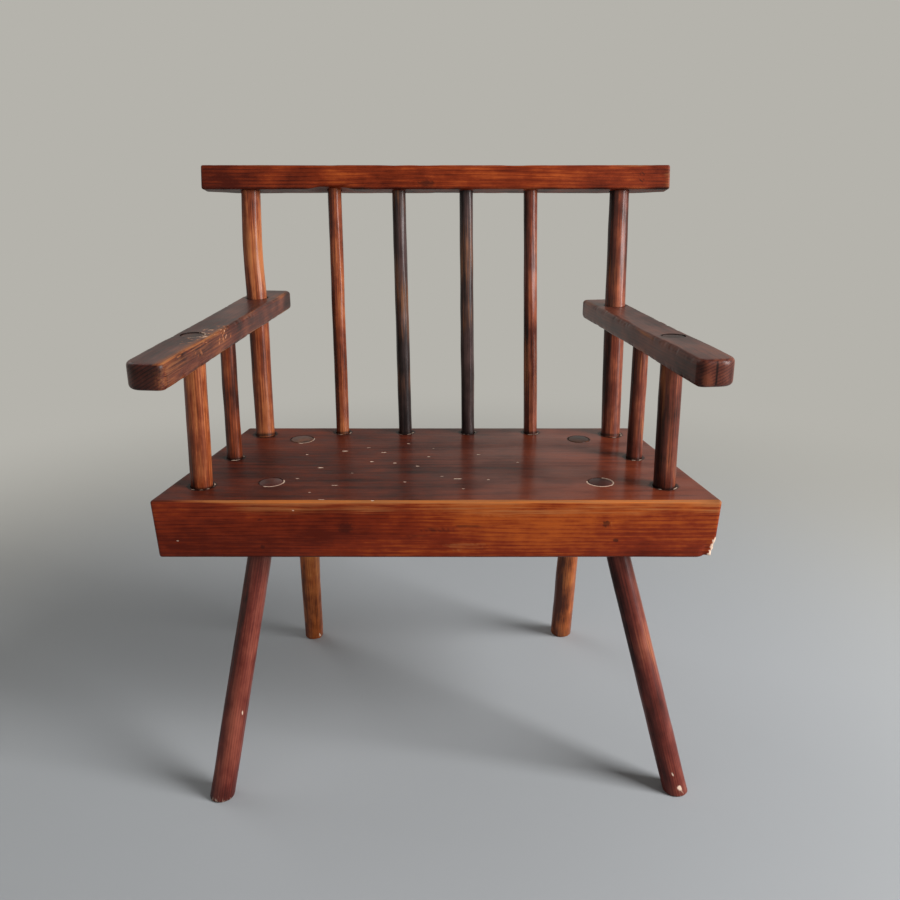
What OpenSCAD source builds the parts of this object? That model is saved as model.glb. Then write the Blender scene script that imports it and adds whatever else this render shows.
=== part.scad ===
// A low stick armchair: one thick plank seat on four splayed legs, six uprights
// under a plain crest rail, and a board arm on each side. Millimetres.
// The chair faces -Y, the floor is z = 0 and the origin is under its middle.

/* [Seat] */
// Width of the seat plank along its front edge
seat_front_w = 692; // [570:1:840]
// Width of the seat plank along its back edge
seat_back_w = 578; // [470:1:710]
// Depth of the seat plank, front to back
seat_depth = 303; // [250:1:380]
// Thickness of the seat plank
seat_thick = 76; // [60:1:95]
// Height of the top of the seat above the floor
seat_h = 400; // [320:1:490]
// Rounding worn onto the seat's long and end edges
seat_edge_r = 4; // [1:0.5:8]
// Rounding of the seat's upright corners
seat_corner_r = 4; // [2:0.5:14]
// How far each end of the plank leans in towards its underside
seat_end_lean = 4; // [0:0.5:10]

/* [Legs] */
// Diameter of a front leg [under the seat, at the floor]
leg_front_d = [31, 32.5]; // [24:0.5:44]
// Diameter of the back left leg [under the seat, at the floor]
leg_back_left_d = [34, 31]; // [24:0.5:44]
// Diameter of the back right leg [under the seat, at the floor]
leg_back_right_d = [32, 35.5]; // [24:0.5:44]
// Shoulder cut all round a leg where its tenon runs up through the seat
leg_shoulder = 0.5; // [0.5:0.5:4]
// Front leg tenons, distance back from the front edge
leg_front_set = 66; // [50:1:90]
// Back leg tenons, distance forward from the back edge
leg_back_set = 58; // [42:1:80]
// Front left tenon, distance in from the end of the seat
leg_front_left_in = 123; // [95:0.5:145]
// Front right tenon, distance in from the end of the seat
leg_front_right_in = 125.5; // [95:0.5:145]
// Back left tenon, distance in from the end of the seat
leg_back_left_in = 101; // [85:1:125]
// Back right tenon, distance in from the end of the seat
leg_back_right_in = 95; // [85:1:125]
// Front left foot, how far it stands out [sideways, forwards] from its tenon
leg_front_left_splay = [70, 100]; // [0:1:150]
// Front right foot, how far it stands out [sideways, forwards] from its tenon
leg_front_right_splay = [106, 89]; // [0:1:150]
// Back left foot, how far it stands out [sideways, backwards] from its tenon
leg_back_left_splay = [20, 132]; // [0:1:170]
// Back right foot, how far it stands out [sideways, backwards] from its tenon
leg_back_right_splay = [6, 142]; // [0:1:170]

/* [Arm supports] */
// Diameter of a front arm post
front_post_d = 28.5; // [22:0.5:32]
// Front arm posts, distance back from the front edge of the seat
front_post_set = 53; // [40:1:75]
// Left front arm post, distance in from the end of the seat
front_post_left_in = 40.5; // [28:0.5:60]
// Right front arm post, distance in from the end of the seat
front_post_right_in = 49.5; // [28:0.5:60]
// Left front arm post, how far its top leans [right, backwards]
front_post_left_lean = [5, 2]; // [-20:0.5:20]
// Right front arm post, how far its top leans [right, backwards]
front_post_right_lean = [-2.5, 1]; // [-20:0.5:20]
// Diameter of the thin stick in the middle of each arm
arm_stick_d = 22; // [16:0.5:26]
// Middle arm sticks, distance back from the front edge of the seat
arm_stick_set = 163; // [130:1:190]
// Left middle stick, distance in from the end of the seat
arm_stick_left_in = 36.5; // [26:0.5:60]
// Right middle stick, distance in from the end of the seat
arm_stick_right_in = 45.5; // [26:0.5:60]
// How far the top of each middle stick stands to the right of the arm's middle line, [left, right]
arm_stick_shift = [-6, 5.5]; // [-8:0.5:8]

/* [Arms] */
// Thickness of an arm board
arm_thick = 27.5; // [22:0.5:34]
// Width of the left arm at its [front, back]
arm_left_w = [47, 58]; // [42:0.5:66]
// Width of the right arm at its [front, back]
arm_right_w = [45, 56]; // [42:0.5:66]
// Height of the left arm's top above the seat, at its [front post, back post]
arm_left_h = [191, 197]; // [150:1:240]
// Height of the right arm's top above the seat, at its [front post, back post]
arm_right_h = [190, 186]; // [150:1:240]
// How far an arm reaches in front of its front post
arm_front_over = 147; // [120:1:180]
// How far an arm reaches behind its back post
arm_back_over = 70; // [45:1:90]
// Left arm, how far its middle line lies to the right of its [front, back] post
arm_left_shift = [1, 2.5]; // [-6:0.5:6]
// Right arm, how far its middle line lies to the right of its [front, back] post
arm_right_shift = [-2, -4]; // [-6:0.5:6]
// Rounding of an arm's corners, seen from above
arm_corner_r = 16; // [4:0.5:19]
// Rounding worn onto an arm's long edges
arm_edge_r = 5; // [2:0.5:10]
// Rounding worn onto the edges of an arm's ends
arm_end_r = 10; // [2:0.5:12]

/* [Back] */
// Diameter of a back post at the seat
back_post_d = 28.5; // [22:0.5:30]
// Diameter of a back post where it passes through the arm
back_post_arm_d = 30; // [24:0.5:32]
// Diameter of a back post under the crest rail
back_post_top_d = 28.5; // [20:0.5:30]
// Back posts, distance forward from the back edge of the seat
back_post_set = 33.5; // [24:0.5:44]
// Left back post, distance in from the end of the seat
back_post_left_in = 38; // [28:1:56]
// Right back post, distance in from the end of the seat
back_post_right_in = 40; // [28:1:56]
// How far each back post's top stands to the right of its foot, [left, right]
back_post_lean = [-11, 4]; // [-20:0.5:20]
// Diameter of a back spindle
spindle_d = 20.5; // [15:0.5:26]
// Back spindles, distance forward from the back edge of the seat
spindle_set = 23.5; // [20:0.5:40]
// Distance between one back spindle and the next
spindle_pitch = 93.5; // [60:0.5:110]
// How far the row of spindles stands to the right of the seat's middle
spindle_shift = -3; // [-20:0.5:20]
// How far the top of each spindle leans to the right, from left to right
spindle_lean = [-5, -6.5, -3.5, -5]; // [-20:0.5:20]

/* [Crest rail] */
// Height of the crest rail's front face
rail_tall = 33.5; // [28:0.5:42]
// Depth of the crest rail, front to back
rail_deep = 44; // [38:0.5:54]
// Height of the rail's front lower edge above the seat
rail_h = 348.5; // [290:0.5:420]
// How far the rail's underside stands behind the back posts' feet
rail_back = 61; // [40:0.5:85]
// How far the rail reaches past the back posts, [left, right]
rail_over = [65, 67]; // [40:1:85]
// Angle that the rail leans back by
rail_tilt = 10.5; // [5:0.5:16]
// How far the rail's back face is cut away at each end
rail_taper = 15; // [2:0.5:20]
// Length of the cut-away stretch at each end of the rail's back face
rail_taper_len = 45; // [20:1:60]
// Rounding worn onto the rail's edges
rail_edge_r = 3; // [1:0.5:6]
// Rounding of the rail's corners, seen from above
rail_corner_r = 6; // [2:0.5:8]

/* [Joinery] */
// Clearance all round a stick in its hole
fit_gap = 0.15; // [0.05:0.05:0.3]
// Clearance under the end of a stick in a blind hole
end_gap = 0.5; // [0.3:0.1:0.9]
// Depth of the blind holes in the top of the seat
seat_socket = 45; // [30:1:52]
// Depth of the blind holes in the underside of an arm
arm_socket = 17; // [12:0.5:19]
// Depth of the blind holes in the underside of the crest rail
rail_socket = 22; // [15:0.5:24]

/* [Hidden] */

$fn = 64;
LEFT = -1;
RIGHT = 1;
// Straight steps in each rounded corner of an outline
arc_steps = 6;
// How far a stick keeps its diameter past the wood that holds it
past = 12;
// Longer than anything that has to be cut
far = 2 * seat_front_w;
seat_under = seat_h - seat_thick;

// The front of the arms and the heels of the back feet are the chair's extremes,
// so the seat is set forward or back until they lie evenly about the origin.
arm_reach = arm_front_over + seat_depth / 2 - front_post_set
    - max(front_post_left_lean.y, front_post_right_lean.y);
foot_reach = seat_depth / 2 - leg_back_set
    + max(leg_back_left_splay.y, leg_back_right_splay.y)
    + max(leg_back_left_d[1], leg_back_right_d[1]) / 2;
seat_y = (arm_reach - foot_reach) / 2;
seat_front_y = seat_y - seat_depth / 2;
seat_back_y = seat_y + seat_depth / 2;

function unit(v) = v / norm(v);
function plan(p) = [p.x, p.y];
function lifted(p, z) = [p.x, p.y, z];
function at(a, b, t) = a + (b - a) * t;
function at_height(a, b, z) = at(a, b, (z - a.z) / (b.z - a.z));
function turn(a) = a > 180 ? a - 360 : a < -180 ? a + 360 : a;

// Distance from the seat's middle line to its end at a distance from the front
function seat_half_w(set) = (seat_front_w + (seat_back_w - seat_front_w) * set / seat_depth) / 2;

// A point on the top of the seat: the side, the distance in from that end, and
// the distance back from the front edge
function on_seat(side, inset, set) =
    [side * (seat_half_w(set) - inset), seat_front_y + set, seat_h];

// Points along an arc of radius r about c
function arc(c, r, first, sweep) =
    [for (i = [0:arc_steps])
        let (a = first + sweep * i / arc_steps)
        c + r * [cos(a), sin(a)]];

// Points of one rounded corner p of an outline, between its neighbours a and b
function corner(a, p, b, r) =
    let (
        u = unit(a - p),
        v = unit(b - p),
        half = acos(u * v) / 2,
        c = p + unit(u + v) * r / sin(half),
        s = p + u * r / tan(half) - c,
        e = p + v * r / tan(half) - c,
        first = atan2(s.y, s.x)
    )
    arc(c, r, first, turn(atan2(e.y, e.x) - first));

function rounded(pts, r) =
    let (n = len(pts))
    [for (i = [0:n - 1]) each corner(pts[(i + n - 1) % n], pts[i], pts[(i + 1) % n], r)];

// Stands its children's +Z axis on the line from a to b, starting at a
module on_line(a, b) {
    d = b - a;
    translate(a) rotate([0, acos(d.z / norm(d)), atan2(d.y, d.x)]) children();
}

// A round stick from a to b. rings lists [distance from a, radius] along it.
module stick(a, b, rings) {
    low = [0, rings[0][0]];
    high = [0, rings[len(rings) - 1][0]];
    outline = concat([low], [for (g = rings) [g[1], g[0]]], [high]);
    on_line(a, b) rotate_extrude() polygon(outline);
}

// The hole for a stick of diameter d, from one distance to another past a. Its
// seam lies a quarter turn from the way the stick leans.
module hole(a, b, d, from, to) {
    on_line(a, b) translate([0, 0, from]) rotate(90) cylinder(h = to - from, d = d + 2 * fit_gap);
}

// Everything between two heights
module slab(z0, z1) {
    translate([-far, -far, z0]) cube([2 * far, 2 * far, z1 - z0]);
}

// Everything inside one side of a plank, with that side's edges rounded. The
// side runs from p to q with the plank on its left.
module side_trim(p, q, thick, r, lean) {
    d = q - p;
    low = arc([lean + r, r], r, 270, -90);
    high = arc([r, thick - r], r, 180, -90);
    translate([p.x, p.y, 0])
        rotate([90, 0, atan2(d.y, d.x) + 90])
            translate([0, 0, -far])
                linear_extrude(2 * far + norm(d))
                    polygon(concat([[far, 0]], low, high, [[far, thick]]));
}

// A plank lying on z = 0 with the outline pts, anticlockwise. edge_r rounds the
// edges of each side, and lean is how far that side leans in to the underside.
module plank(pts, thick, corner_r, edge_r, lean) {
    n = len(pts);
    intersection() {
        linear_extrude(thick) polygon(rounded(pts, corner_r));
        intersection_for(i = [0:n - 1]) {
            side_trim(pts[i], pts[(i + 1) % n], thick, edge_r[i], lean[i]);
        }
    }
}

/* Where the sticks stand */

leg_top = [
    on_seat(LEFT, leg_front_left_in, leg_front_set),
    on_seat(RIGHT, leg_front_right_in, leg_front_set),
    on_seat(LEFT, leg_back_left_in, seat_depth - leg_back_set),
    on_seat(RIGHT, leg_back_right_in, seat_depth - leg_back_set)
];
leg_d = [leg_front_d, leg_front_d, leg_back_left_d, leg_back_right_d];
leg_foot = [
    lifted(plan(leg_top[0]) + [-leg_front_left_splay.x, -leg_front_left_splay.y], 0),
    lifted(plan(leg_top[1]) + [leg_front_right_splay.x, -leg_front_right_splay.y], 0),
    lifted(plan(leg_top[2]) + [-leg_back_left_splay.x, leg_back_left_splay.y], 0),
    lifted(plan(leg_top[3]) + [leg_back_right_splay.x, leg_back_right_splay.y], 0)
];

// The back posts and spindles end at the middle of the rail's underside
post_base = [
    on_seat(LEFT, back_post_left_in, seat_depth - back_post_set),
    on_seat(RIGHT, back_post_right_in, seat_depth - back_post_set)
];
rail_seat_y = seat_back_y - back_post_set + rail_back;
rail_seat_z = seat_h + rail_h - rail_deep / 2 * sin(rail_tilt);
rail_front_y = rail_seat_y - rail_deep / 2 * cos(rail_tilt);
function under_rail(x) = [x, rail_seat_y, rail_seat_z];

post_top = [
    under_rail(post_base[0].x + back_post_lean[0]),
    under_rail(post_base[1].x + back_post_lean[1])
];
spindle_base = [for (i = [0:3])
    [spindle_shift + (i - 1.5) * spindle_pitch, seat_back_y - spindle_set, seat_h]];
spindle_top = [for (i = [0:3]) under_rail(spindle_base[i].x + spindle_lean[i])];

arm_h = [arm_left_h, arm_right_h];
arm_w = [arm_left_w, arm_right_w];
arm_shift = [arm_left_shift, arm_right_shift];
front_post_base = [
    on_seat(LEFT, front_post_left_in, front_post_set),
    on_seat(RIGHT, front_post_right_in, front_post_set)
];
front_post_lean = [front_post_left_lean, front_post_right_lean];
front_post_top = [for (k = [0, 1])
    lifted(plan(front_post_base[k]) + front_post_lean[k], seat_h + arm_h[k][0])];

// The arm's middle line on its top face, level with its front and back posts
arm_front = [for (k = [0, 1]) front_post_top[k] + [arm_shift[k][0], 0, 0]];
arm_back = [for (k = [0, 1])
    at_height(post_base[k], post_top[k], seat_h + arm_h[k][1]) + [arm_shift[k][1], 0, 0]];
arm_run = [for (k = [0, 1]) norm(plan(arm_back[k]) - plan(arm_front[k]))];

arm_stick_base = [
    on_seat(LEFT, arm_stick_left_in, arm_stick_set),
    on_seat(RIGHT, arm_stick_right_in, arm_stick_set)
];
// A middle stick ends inside the arm, short of its top face
arm_stick_top = [for (k = [0, 1])
    let (share = (arm_stick_set - front_post_set) / (seat_depth - back_post_set - front_post_set))
    at(arm_front[k], arm_back[k], share) + [arm_stick_shift[k], 0, arm_socket - arm_thick]];

/* Lengths measured along the sticks */

function tenon_d(i) = leg_d[i][0] - 2 * leg_shoulder;
function leg_len(i) = norm(leg_top[i] - leg_foot[i]);
function post_len(k) = norm(post_top[k] - post_base[k]);

// Puts an arm's own frame in place: +X runs back along its middle line from the
// front post, and z = 0 is its top face
module in_arm(k) {
    d = arm_back[k] - arm_front[k];
    translate(arm_front[k])
        rotate([0, -atan2(d.z, arm_run[k]), atan2(d.y, d.x)])
            children();
}

// Puts the rail's own frame in place: the front lower edge, leaning back
module in_rail() {
    translate([0, rail_front_y, seat_h + rail_h]) rotate([-rail_tilt, 0, 0]) children();
}

module leg_holes() {
    for (i = [0:3]) {
        hole(leg_top[i], leg_foot[i], tenon_d(i), -seat_thick, 2 * seat_thick);
    }
}

// A tapered shaft, cut level with the floor and with the underside of the seat,
// and a straight tenon that is cut flush with the seat's top
module leg(i) {
    length = leg_len(i);
    d = leg_d[i];
    shaft = [[-past, d[0] / 2], [seat_thick, d[0] / 2], [length, d[1] / 2], [length + past, d[1] / 2]];
    tenon = [[-past, tenon_d(i) / 2], [2 * seat_thick, tenon_d(i) / 2]];
    intersection() {
        stick(leg_top[i], leg_foot[i], shaft);
        slab(0, seat_under);
    }
    intersection() {
        stick(leg_top[i], leg_foot[i], tenon);
        slab(seat_under - past / 2, seat_h);
    }
}

// A straight post whose top end is flush with the top of its arm
module front_post(k) {
    length = norm(front_post_top[k] - front_post_base[k]);
    rings = [[end_gap - seat_socket, front_post_d / 2], [length + past, front_post_d / 2]];
    intersection() {
        stick(front_post_base[k], front_post_top[k], rings);
        in_arm(k) slab(-far, 0);
    }
}

// A thin straight stick, blind in the seat and in the arm
module arm_stick(k) {
    length = norm(arm_stick_top[k] - arm_stick_base[k]);
    rings = [[end_gap - seat_socket, arm_stick_d / 2], [length - end_gap, arm_stick_d / 2]];
    stick(arm_stick_base[k], arm_stick_top[k], rings);
}

// A post that runs through its arm, thickest there, and up into the crest rail
module back_post(k) {
    length = post_len(k);
    level = length * arm_h[k][1] / (rail_h - rail_deep / 2 * sin(rail_tilt));
    rings = [
        [end_gap - seat_socket, back_post_d / 2],
        [past / 2, back_post_d / 2],
        [level - arm_thick - past, back_post_arm_d / 2],
        [level + past, back_post_arm_d / 2],
        [length - past / 2, back_post_top_d / 2],
        [length + rail_socket - end_gap, back_post_top_d / 2]
    ];
    stick(post_base[k], post_top[k], rings);
}

// A straight spindle, blind in the seat and in the crest rail
module back_spindle(i) {
    length = norm(spindle_top[i] - spindle_base[i]);
    rings = [[end_gap - seat_socket, spindle_d / 2], [length + rail_socket - end_gap, spindle_d / 2]];
    stick(spindle_base[i], spindle_top[i], rings);
}

// A board, wider at the back, with a hole right through for each post and a
// blind one for the middle stick
module arm(k) {
    w = arm_w[k] / 2;
    front = -arm_front_over;
    back = arm_run[k] + arm_back_over;
    outline = [[front, -w[0]], [back, -w[1]], [back, w[1]], [front, w[0]]];
    edge_r = [arm_edge_r, arm_end_r, arm_edge_r, arm_end_r];
    difference() {
        in_arm(k)
            translate([0, 0, -arm_thick])
                plank(outline, arm_thick, arm_corner_r, edge_r, [0, 0, 0, 0]);
        hole(front_post_base[k], front_post_top[k], front_post_d, arm_h[k][0] / 2, 2 * arm_h[k][0]);
        hole(arm_stick_base[k], arm_stick_top[k], arm_stick_d, arm_h[k][0] / 2,
            norm(arm_stick_top[k] - arm_stick_base[k]));
        hole(post_base[k], post_top[k], back_post_arm_d, arm_h[k][1] / 2, 2 * arm_h[k][1]);
    }
}

module seat() {
    front = seat_front_w / 2;
    back = seat_back_w / 2;
    outline = [
        [-front, seat_front_y], [front, seat_front_y],
        [back, seat_back_y], [-back, seat_back_y]
    ];
    edge_r = [for (p = outline) seat_edge_r];
    color("saddlebrown") difference() {
        translate([0, 0, seat_under])
            plank(outline, seat_thick, seat_corner_r, edge_r, [0, seat_end_lean, 0, seat_end_lean]);
        leg_holes();
        for (k = [0, 1]) {
            hole(front_post_base[k], front_post_top[k], front_post_d, -seat_socket, seat_socket);
            hole(arm_stick_base[k], arm_stick_top[k], arm_stick_d, -seat_socket, seat_socket);
            hole(post_base[k], post_top[k], back_post_d, -seat_socket, seat_socket);
        }
        for (i = [0:3]) {
            hole(spindle_base[i], spindle_top[i], spindle_d, -seat_socket, seat_socket);
        }
    }
}

module leg_front_left() { color("sienna") leg(0); }
module leg_front_right() { color("sienna") leg(1); }
module leg_back_left() { color("sienna") leg(2); }
module leg_back_right() { color("sienna") leg(3); }
module arm_post_left() { color("chocolate") front_post(0); }
module arm_post_right() { color("chocolate") front_post(1); }
module arm_stick_left() { color("chocolate") arm_stick(0); }
module arm_stick_right() { color("chocolate") arm_stick(1); }
module arm_left() { color("saddlebrown") arm(0); }
module arm_right() { color("saddlebrown") arm(1); }
module back_post_left() { color("chocolate") back_post(0); }
module back_post_right() { color("chocolate") back_post(1); }
module back_spindle_1() { color("brown") back_spindle(0); }
module back_spindle_2() { color("maroon") back_spindle(1); }
module back_spindle_3() { color("maroon") back_spindle(2); }
module back_spindle_4() { color("brown") back_spindle(3); }

module crest_rail() {
    left = post_top[0].x - rail_over[0];
    right = post_top[1].x + rail_over[1];
    outline = [
        [left, 0], [right, 0],
        [right, rail_deep - rail_taper], [right - rail_taper_len, rail_deep],
        [left + rail_taper_len, rail_deep], [left, rail_deep - rail_taper]
    ];
    edge_r = [for (p = outline) rail_edge_r];
    upright = [for (p = outline) 0];
    color("sienna") difference() {
        in_rail() plank(outline, rail_tall, rail_corner_r, edge_r, upright);
        for (k = [0, 1]) {
            hole(post_base[k], post_top[k], back_post_top_d, post_len(k) / 2, post_len(k) + rail_socket);
        }
        for (i = [0:3]) {
            length = norm(spindle_top[i] - spindle_base[i]);
            hole(spindle_base[i], spindle_top[i], spindle_d, length / 2, length + rail_socket);
        }
    }
}

seat();
leg_front_left();
leg_front_right();
leg_back_left();
leg_back_right();
arm_post_left();
arm_post_right();
arm_stick_left();
arm_stick_right();
arm_left();
arm_right();
back_post_left();
back_post_right();
back_spindle_1();
back_spindle_2();
back_spindle_3();
back_spindle_4();
crest_rail();
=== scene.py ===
"""A low stick armchair in worn dark varnish, built piece by piece around its frame."""

import math

import bmesh
import bpy
import numpy as np
from bpy.props import FloatProperty, FloatVectorProperty, IntProperty, PointerProperty
from mathutils import Matrix, Vector, noise


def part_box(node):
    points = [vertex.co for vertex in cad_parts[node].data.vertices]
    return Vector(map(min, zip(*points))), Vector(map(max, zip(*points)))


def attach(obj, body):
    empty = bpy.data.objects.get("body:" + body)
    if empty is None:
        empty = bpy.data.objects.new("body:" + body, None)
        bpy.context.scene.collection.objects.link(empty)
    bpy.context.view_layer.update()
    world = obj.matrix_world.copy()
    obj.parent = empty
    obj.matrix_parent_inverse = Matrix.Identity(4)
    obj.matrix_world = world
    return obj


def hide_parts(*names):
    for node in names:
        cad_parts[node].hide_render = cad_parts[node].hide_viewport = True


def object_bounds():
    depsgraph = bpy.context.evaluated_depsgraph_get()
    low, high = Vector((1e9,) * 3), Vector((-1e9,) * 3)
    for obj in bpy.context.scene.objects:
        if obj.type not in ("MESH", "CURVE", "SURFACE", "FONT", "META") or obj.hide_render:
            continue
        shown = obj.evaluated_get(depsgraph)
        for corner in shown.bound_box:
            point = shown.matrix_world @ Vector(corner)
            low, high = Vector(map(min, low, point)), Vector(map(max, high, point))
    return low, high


bl_info = {
    "name": "Stick armchair",
    "version": (1, 0, 0),
    "blender": (4, 5, 0),
    "location": "3D View > Sidebar > Armchair",
    "description": "Builds a worn, varnished stick armchair around its frame",
    "category": "Object",
}

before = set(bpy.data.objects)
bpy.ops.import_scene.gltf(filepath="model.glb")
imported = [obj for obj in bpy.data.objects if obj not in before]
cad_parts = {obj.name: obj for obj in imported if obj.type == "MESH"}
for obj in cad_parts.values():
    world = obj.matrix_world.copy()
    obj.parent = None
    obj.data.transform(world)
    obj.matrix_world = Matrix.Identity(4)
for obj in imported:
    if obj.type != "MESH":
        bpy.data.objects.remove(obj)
cad_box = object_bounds()

MM = 0.001
X, Y, Z = Vector((1, 0, 0)), Vector((0, 1, 0)), Vector((0, 0, 1))
COARSE = 1.0
# How fine the noise is that makes an edge of a mark ragged, in lumps to the metre.
RAGGED = 420
# Rounding of a sawn end's rim, in how many steps, and how far a tenon's end lies under the seat's
# top and a post's end under the arm's.
SAWN_RIM, RIM_STEPS, TENON_SUNK, POST_SUNK = 0.8 * MM, 4, 0.3 * MM, 0.4 * MM
# How much too long legs and front posts are made, before they are cut off.
LEG_SPARE, POST_SPARE = 0.03, 0.02
# How far past the seat a hole's cutter runs, above and below an arm's top, and below the rail.
PAST_SEAT, ABOVE_ARM, BELOW_ARM, BELOW_RAIL = 0.04, 0.03, 0.08, 0.07
# A blind hole is this much deeper than its stick, and a hole has this many sides.
DEEPER, HOLE_SIDES = 1 * MM, 72
# Where the tree's middle lies from a board's own middle and from a stick's, in metres.
BOARD_PITH, STICK_PITH = (0.09, 0.16), (0.012, 0.02)


# ---- small shared maths


def smooth(value, start, end):
    """0 before start, 1 after end, and a soft step between them. start may be the larger."""
    share = min(1.0, max(0.0, (value - start) / (end - start)))
    return share * share * (3 - 2 * share)


def within(distance, far, near):
    """1 nearer than near, 0 farther than far, both in mm, and a soft step between them."""
    return smooth(distance, far * MM, near * MM)


def lumps(point, scale, seed=0.0):
    """Soft noise from about -1 to 1 at a point, its lumps about 1 / scale long."""
    return noise.noise(Vector(point) * scale + Vector((seed, -0.7 * seed, 0.3 * seed)))


def tint(red, green, blue):
    """A colour given from 0 to 255 as it looks, as the linear values that materials take."""
    return tuple(
        c / 12.92 if c <= 0.04045 else ((c + 0.055) / 1.055) ** 2.4
        for c in (red / 255, green / 255, blue / 255)
    )


def seed_of(node):
    """A number of a piece's own, the same at every run."""
    return 3.7 + 1.9 * sorted(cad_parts).index(node)


# ---- the frame's own places


def points_of(node):
    """The corners of a frame node's mesh, as rows of x, y and z."""
    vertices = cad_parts[node].data.vertices
    found = np.empty(len(vertices) * 3)
    vertices.foreach_get("co", found)
    return found.reshape(-1, 3)


def middle(points):
    """The middle of the box round some points."""
    return Vector((points.min(0) + points.max(0)) / 2)


class Face:
    """The plane of the largest face of a frame node, of those that look about one way."""

    def __init__(self, node, way):
        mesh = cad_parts[node].data
        about = [p for p in mesh.polygons if p.normal.dot(way) > 0.9]
        largest = max(about, key=lambda p: p.area)
        self.normal = largest.normal.copy()
        self.point = mesh.vertices[largest.vertices[0]].co.copy()

    def meet(self, start, way):
        """Where a line from start along way meets the plane."""
        return start + way * (
            (self.point - start).dot(self.normal) / way.dot(self.normal)
        )


seat_low, seat_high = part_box("seat")
seat_top, seat_under = seat_high.z, seat_low.z


class Stick:
    """Where a round stick of the frame runs, and how thick it is."""

    def __init__(self, node, level=False):
        points = points_of(node)
        axis, slack = Z, (0.1 if level else 3) * MM
        for _ in range(1 if level else 6):
            reach = points @ np.array(axis)
            low = points[reach < reach.min() + slack]
            high = points[reach > reach.max() - slack]
            self.low, self.high = middle(low), middle(high)
            axis = (self.high - self.low).normalized()
        self.axis, self.length = axis, (self.high - self.low).length
        self.turn = Z.rotation_difference(axis).to_matrix()
        along = (points - np.array(self.low)) @ np.array(axis)
        off = points - np.array(self.low) - np.outer(along, np.array(axis))
        off = np.linalg.norm(off, axis=1)
        if level:
            self.places = [0, self.to_height(seat_under), self.length]
            near = [off[abs(along - place) < 12 * MM] for place in self.places]
            self.radii = [near[0].mean(), near[1].max(), near[2].mean()]
        else:
            self.places = sorted({round(a, 4) for a in along})
            self.radii = [off[abs(along - a) < 0.2 * MM].max() for a in self.places]

    def radius(self, along):
        """The stick's radius at a distance from its low end."""
        return float(np.interp(along, self.places, self.radii))

    def to_height(self, z):
        """How far along the stick from its low end a height is."""
        return (z - self.low.z) / self.axis.z

    def at_height(self, z):
        """The point of the stick's axis at a height."""
        share = (z - self.low.z) / (self.high.z - self.low.z)
        return self.low + (self.high - self.low) * share

    def distance(self, point):
        """How far a point is from the stick's axis, and the way from the axis to it."""
        from_low = point - self.low
        out = from_low - self.axis * from_low.dot(self.axis)
        return out.length, out


class Board:
    """The place and size of a board of the frame. Its own x runs along the grain, z is up."""

    def __init__(self, node, along):
        up = Face(node, Z).normal
        across = up.cross(along).normalized()
        turn = Matrix((across.cross(up), across, up)).transposed()
        local = points_of(node) @ np.array(turn)
        low, high = local.min(0), local.max(0)
        self.size, self.half = Vector(high - low), Vector(high - low) / 2
        self.place = Matrix.Translation(turn @ Vector((low + high) / 2)) @ turn.to_4x4()
        self.back = self.place.inverted()

    def between(self, point, first, second, k):
        """Moves a point along the board's axis k, to its share of the way between two faces."""
        way = self.place.to_3x3().col[k]
        base = point.copy()
        base[k] = 0
        start = self.place @ base
        low, high = (self.back @ face.meet(start, way) for face in (first, second))
        share = point[k] / self.size[k] + 0.5
        base[k] = low[k] + (high[k] - low[k]) * share
        return base

    def arris(self, point, reach):
        """How near a point of the board's own is to an arris: 1 on it, 0 further than reach."""
        near = sorted(
            smooth(abs(point[k]), self.half[k] - reach, self.half[k] - 0.1 * reach)
            for k in range(3)
        )
        return near[1]


# ---- meshes


ROUNDING = {"profile": 0.5, "affect": "EDGES", "material": -1}


def grid_box(size, edge, step):
    """A box with rounded edges, centred on the origin, and cut into a grid."""
    bm = bmesh.new()
    bmesh.ops.create_cube(bm, size=1.0)
    bmesh.ops.scale(bm, vec=size, verts=bm.verts)
    bmesh.ops.bevel(bm, geom=bm.edges[:], offset=edge, segments=4, **ROUNDING)
    for k in range(3):
        span = size[k] - 2 * edge
        long = [e for e in bm.edges if abs(e.verts[0].co[k] - e.verts[1].co[k]) > 0.9 * span]
        cuts = max(1, round(span / (step * COARSE)) - 1)
        bmesh.ops.subdivide_edges(bm, edges=long, cuts=cuts, use_grid_fill=True)
    return bm


def finer(bm, spots, cuts=2):
    """Cuts the mesh finer round each spot, which is a point and a reach."""
    chosen = set()
    for centre, reach in spots:
        near = {v for v in bm.verts if (v.co - centre).length < reach}
        chosen |= {e for v in near for e in v.link_edges if e.other_vert(v) in near}
    in_order = [e for e in bm.edges if e in chosen]
    bmesh.ops.subdivide_edges(bm, edges=in_order, cuts=cuts, use_grid_fill=True)


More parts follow.
